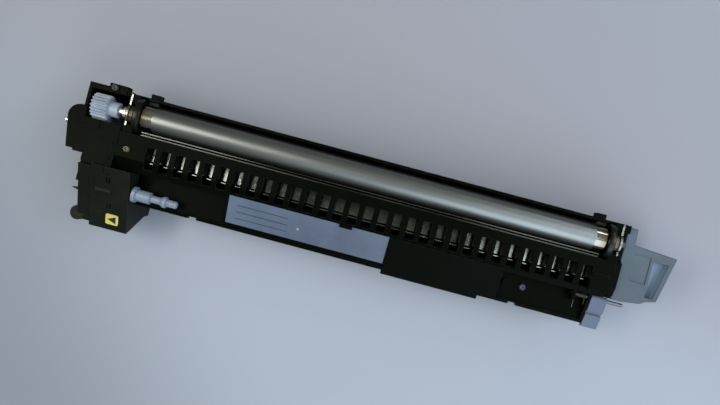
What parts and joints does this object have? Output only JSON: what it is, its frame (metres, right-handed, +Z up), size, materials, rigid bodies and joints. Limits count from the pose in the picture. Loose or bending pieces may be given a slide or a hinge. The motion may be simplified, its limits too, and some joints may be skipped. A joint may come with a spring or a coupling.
{
  "type": "developer unit",
  "caption": "Long black developer unit of a colour copier with a magnetic roller, slotted cover, side toner inlet, drive gear and grey end handle.",
  "frame": {"origin": "middle of the roller's length, midway between the two augers, on the plane of the slide rails' undersides", "axes": "+X along the roller from the gear end to the handle, +Y to the roller side, +Z up"},
  "size_m": [0.426, 0.0973, 0.0592],
  "materials": {
    "black_plastic": "fine moulded grain",
    "grey_plastic": "fine moulded grain",
    "white_acetal": "smooth",
    "black_acetal": "smooth",
    "blasted_sleeve": "blasted",
    "turned_steel": "turned",
    "sheet_steel": "rolled",
    "dark_sheet": "rolled",
    "spring_steel": "drawn wire",
    "screw_zinc": "zinc plated",
    "bronze": "sintered",
    "magnet": "bonded ferrite",
    "felt": "felt",
    "yellow_mark": "printed film"
  },
  "bodies": {
    "base": {"lower_housing": "black_plastic", "slotted_cover": "black_plastic", "slot_plate": "sheet_steel", "trimmer_blade": "sheet_steel", "trimmer_backing_plate": "dark_sheet", "magnet_core": "magnet", "left_bearing": "bronze", "right_bearing": "bronze", "left_bearing_clip": "sheet_steel", "right_bearing_clip": "sheet_steel", "idler_pin": "turned_steel", "supply_bush_left": "bronze", "supply_bush_right": "bronze", "mixing_bush_left": "bronze", "mixing_bush_right": "bronze", "gear_case": "black_plastic", "inlet_block": "black_plastic", "direction_mark": "yellow_mark", "shutter_spring": "spring_steel", "note_plate": "grey_plastic", "raised_front_cover": "black_plastic", "right_end_plate": "black_plastic", "handle": "grey_plastic", "lever_pin": "turned_steel", "lever_spring": "spring_steel", "toner_sensor": "black_plastic", "left_side_seal": "felt", "right_side_seal": "felt", "cover_screw": "screw_zinc", "tray_screw": "screw_zinc", "case_screw": "screw_zinc", "plate_screw_front": "screw_zinc", "plate_screw_back": "screw_zinc"},
    "sleeve": {"developing_sleeve": "blasted_sleeve", "sleeve_drive_shaft": "turned_steel", "sleeve_end_flange": "turned_steel", "shaft_collar": "turned_steel", "sleeve_gear": "white_acetal"},
    "left_roller": {"left_tracking_roller": "black_acetal"},
    "right_roller": {"right_tracking_roller": "black_acetal"},
    "idler": {"idler_gear": "white_acetal"},
    "supply": {"supply_auger": "black_plastic", "supply_auger_gear": "white_acetal"},
    "mixing": {"mixing_auger": "black_plastic", "mixing_auger_gear": "white_acetal"},
    "shutter": {"shutter_rod": "white_acetal", "inlet_shutter": "grey_plastic"},
    "lever": {"release_lever": "grey_plastic"}
  },
  "joints": [
    {"name": "sleeve_spin", "type": "hinge", "parent": "base", "child": "sleeve", "pos_m": [0, 0.024, 0.047], "axis": [1, 0, 0], "continuous": true},
    {"name": "left_roller_spin", "type": "hinge", "parent": "sleeve", "child": "left_roller", "pos_m": [-0.1614, 0.024, 0.047], "axis": [1, 0, 0], "continuous": true},
    {"name": "right_roller_spin", "type": "hinge", "parent": "sleeve", "child": "right_roller", "pos_m": [0.1614, 0.024, 0.047], "axis": [1, 0, 0], "continuous": true},
    {"name": "idler_spin", "type": "hinge", "parent": "base", "child": "idler", "pos_m": [-0.189, 0.00978, 0.04058], "axis": [1, 0, 0], "continuous": true},
    {"name": "supply_spin", "type": "hinge", "parent": "base", "child": "supply", "pos_m": [0, 0.0128, 0.02], "axis": [1, 0, 0], "continuous": true},
    {"name": "mixing_spin", "type": "hinge", "parent": "base", "child": "mixing", "pos_m": [0, -0.0128, 0.02], "axis": [1, 0, 0], "continuous": true},
    {"name": "shutter_slide", "type": "slide", "parent": "base", "child": "shutter", "axis": [1, 0, 0], "range_m": [0, 0.011], "stiffness_N_per_m": 60, "springref_m": -0.004, "deforming": ["shutter_spring"]},
    {"name": "lever_hinge", "type": "hinge", "parent": "base", "child": "lever", "pos_m": [0.169, -0.0159, 0.0415], "axis": [-1, 0, 0], "range_deg": [0, 15], "stiffness_Nm_per_rad": 0.02, "springref_deg": -11.46}
  ],
  "couplings": [
    {"joint": "idler_spin", "follows": "sleeve_spin", "ratio": -0.95},
    {"joint": "supply_spin", "follows": "sleeve_spin", "ratio": 0.59375},
    {"joint": "mixing_spin", "follows": "sleeve_spin", "ratio": -0.59375}
  ]
}
